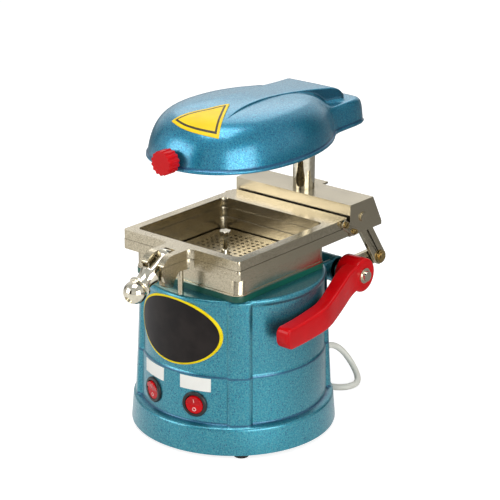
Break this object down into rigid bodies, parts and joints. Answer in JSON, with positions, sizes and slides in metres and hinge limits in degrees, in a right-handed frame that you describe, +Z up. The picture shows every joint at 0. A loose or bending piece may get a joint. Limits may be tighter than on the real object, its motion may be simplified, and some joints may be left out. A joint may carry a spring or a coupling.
{
  "type": "dental vacuum former",
  "caption": "Bench vacuum former: a round drum with a suction chamber, a lever-lifted sheet frame with a swing clamp, and a heater head on a post.",
  "frame": {"origin": "on the floor under the drum's axis, in the plane of the rubber feet", "axes": "+Z up along the drum's axis, -Y to the front where the clamp and the switches are, +X to the side of the hand lever"},
  "size_m": [0.2365, 0.3274, 0.2963],
  "materials": {
    "blue_paint": "glossy hammered enamel with fine dark speckle",
    "dark_sheet": "satin black sheet",
    "black_rubber": "matt moulded rubber",
    "green_rubber": "smooth dark green sealing rubber",
    "cast_aluminium": "polished aluminium",
    "motor_steel": "plain steel can",
    "nickel": "warm nickel plate with a soft shine",
    "chrome": "mirror chrome",
    "brass": "turned brass",
    "badge": "gloss black plate with a yellow border",
    "white_label": "blank white label",
    "black_plastic": "moulded black plastic",
    "white_plastic": "soft white sheath",
    "red_plastic": "glossy red moulding",
    "element_steel": "oxidised heater sheath",
    "ceramic": "glazed ceramic",
    "sign": "blank yellow sign with a dark border"
  },
  "bodies": {
    "base": {"base_housing": "blue_paint", "bottom_cover": "dark_sheet", "foot_front_left": "black_rubber", "foot_front_right": "black_rubber", "foot_rear_left": "black_rubber", "foot_rear_right": "black_rubber", "turbine_housing": "cast_aluminium", "drive_motor": "motor_steel", "chamber_gasket": "green_rubber", "chamber_box": "nickel", "rest_pin": "nickel", "lift_post": "chrome", "badge_plate": "badge", "label_left": "white_label", "label_right": "white_label", "bezel_left": "black_plastic", "bezel_right": "black_plastic", "strain_relief": "white_plastic", "cord_tube": "white_plastic", "cord_coil": "white_plastic", "cord_tie": "black_plastic", "mains_plug": "white_plastic"},
    "carriage": {"lower_frame": "nickel", "guide_sleeve": "nickel", "rear_channel": "nickel", "hinge_plate_left": "nickel", "hinge_plate_right": "nickel", "hinge_screw_left": "brass", "hinge_screw_right": "brass", "channel_rivet_left": "nickel", "channel_rivet_right": "nickel", "tilt_screw_left": "brass", "tilt_screw_right": "brass"},
    "sheet_clamp": {"upper_frame": "nickel", "clamp_pin": "nickel"},
    "bolt": {"swing_bolt": "chrome"},
    "knob": {"clamp_knob": "chrome"},
    "lever": {"lift_shaft": "nickel", "crank_left": "nickel", "crank_right": "nickel", "crank_pin_left": "brass", "crank_pin_right": "brass", "hand_lever": "red_plastic", "lever_bolt": "chrome", "shaft_nut": "brass"},
    "links": {"link_left": "nickel", "link_right": "nickel"},
    "head": {"head_casting": "blue_paint", "reflector": "cast_aluminium", "heating_element": "element_steel", "terminals": "ceramic", "head_knob": "red_plastic", "head_sign": "sign"},
    "switch_left": {"rocker_left": "red_plastic"},
    "switch_right": {"rocker_right": "red_plastic"},
    "tray": {"suction_plate": "nickel", "suction_knob": "chrome"}
  },
  "joints": [
    {"name": "head_swing", "type": "hinge", "parent": "base", "child": "head", "pos_m": [0, 0.099, 0.27], "axis": [0, 0, 1], "range_deg": [-90, 90]},
    {"name": "lever_lift", "type": "hinge", "parent": "base", "child": "lever", "pos_m": [0, 0.0835, 0.1315], "axis": [1, 0, 0], "range_deg": [0, 40]},
    {"name": "carriage_slide", "type": "slide", "parent": "base", "child": "carriage", "axis": [0, 0, 1], "range_m": [0, 0.0385]},
    {"name": "link_turn", "type": "hinge", "parent": "lever", "child": "links", "pos_m": [0, 0.1335, 0.1315], "axis": [1, 0, 0], "range_deg": [-54, 0]},
    {"name": "frame_tilt", "type": "hinge", "parent": "carriage", "child": "sheet_clamp", "pos_m": [0, 0.0725, 0.1788], "axis": [-1, 0, 0], "range_deg": [0, 24]},
    {"name": "bolt_swing", "type": "hinge", "parent": "sheet_clamp", "child": "bolt", "pos_m": [0, -0.088, 0.179], "axis": [-1, 0, 0], "range_deg": [0, 120]},
    {"name": "knob_turn", "type": "hinge", "parent": "bolt", "child": "knob", "pos_m": [0, -0.088, 0.179], "axis": [0, -0.866, -0.5], "continuous": true},
    {"name": "rocker_left_press", "type": "hinge", "parent": "base", "child": "switch_left", "pos_m": [-0.02385, -0.0795, 0.046], "axis": [-0.9578, 0.2874, 0], "range_deg": [0, 18]},
    {"name": "rocker_right_press", "type": "hinge", "parent": "base", "child": "switch_right", "pos_m": [0.02385, -0.0795, 0.046], "axis": [-0.9578, -0.2874, 0], "range_deg": [0, 18]},
    {"name": "tray_lift", "type": "slide", "parent": "base", "child": "tray", "axis": [0, 0, 1], "range_m": [0, 0.035]}
  ],
  "couplings": [
    {"joint": "carriage_slide", "follows": "lever_lift", "m_per_rad": 0.05486},
    {"joint": "link_turn", "follows": "lever_lift", "ratio": -1.331}
  ]
}
